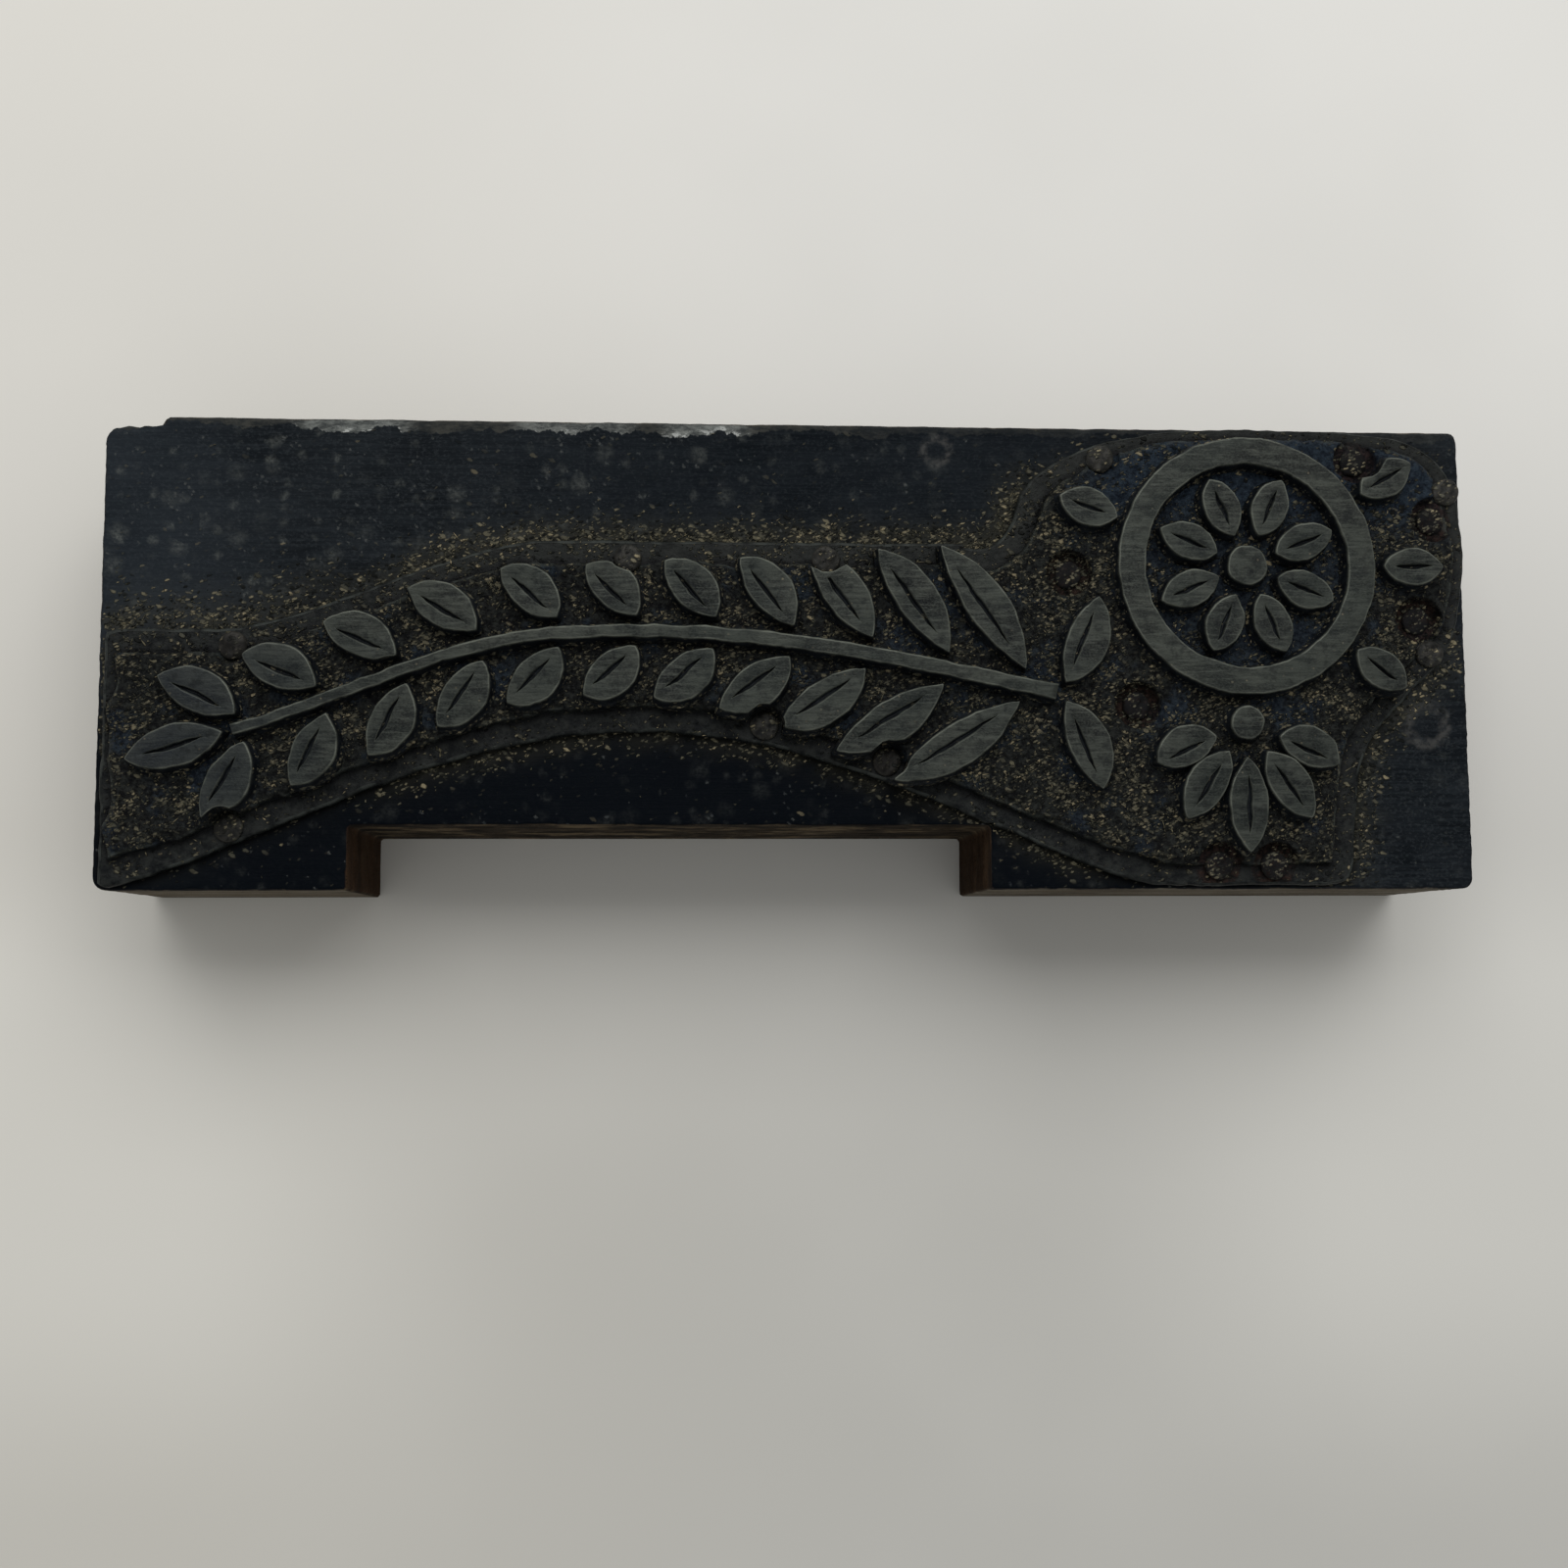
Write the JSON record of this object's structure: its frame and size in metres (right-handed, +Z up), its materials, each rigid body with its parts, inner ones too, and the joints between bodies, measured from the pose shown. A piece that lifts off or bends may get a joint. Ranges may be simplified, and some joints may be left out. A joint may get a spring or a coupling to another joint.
{
  "type": "letterpress printing block",
  "caption": "Type-high wooden printing block with an arched metal relief plate nailed on top and a notch for set type in its front edge.",
  "frame": {"origin": "middle of the underside, on the bed of the press", "axes": "+X along the block to its right end, +Y to its back, +Z up to the printing face"},
  "size_m": [0.127, 0.0436, 0.0233],
  "materials": {
    "inked_wood": "close-grained hardwood, blue-black with old printing ink on top, bare brown end grain in the notch",
    "plate_metal": "dull grey-green zinc alloy, brushed on the printing faces, ink-stained and rough on the floor",
    "flange_brads": "dull, inky steel",
    "pit_brads": "dark, inky steel"
  },
  "bodies": {
    "root": {"wood_block": "inked_wood", "printing_plate": "plate_metal", "flange_nails": "flange_brads", "pit_nails": "pit_brads"}
  },
  "joints": []
}
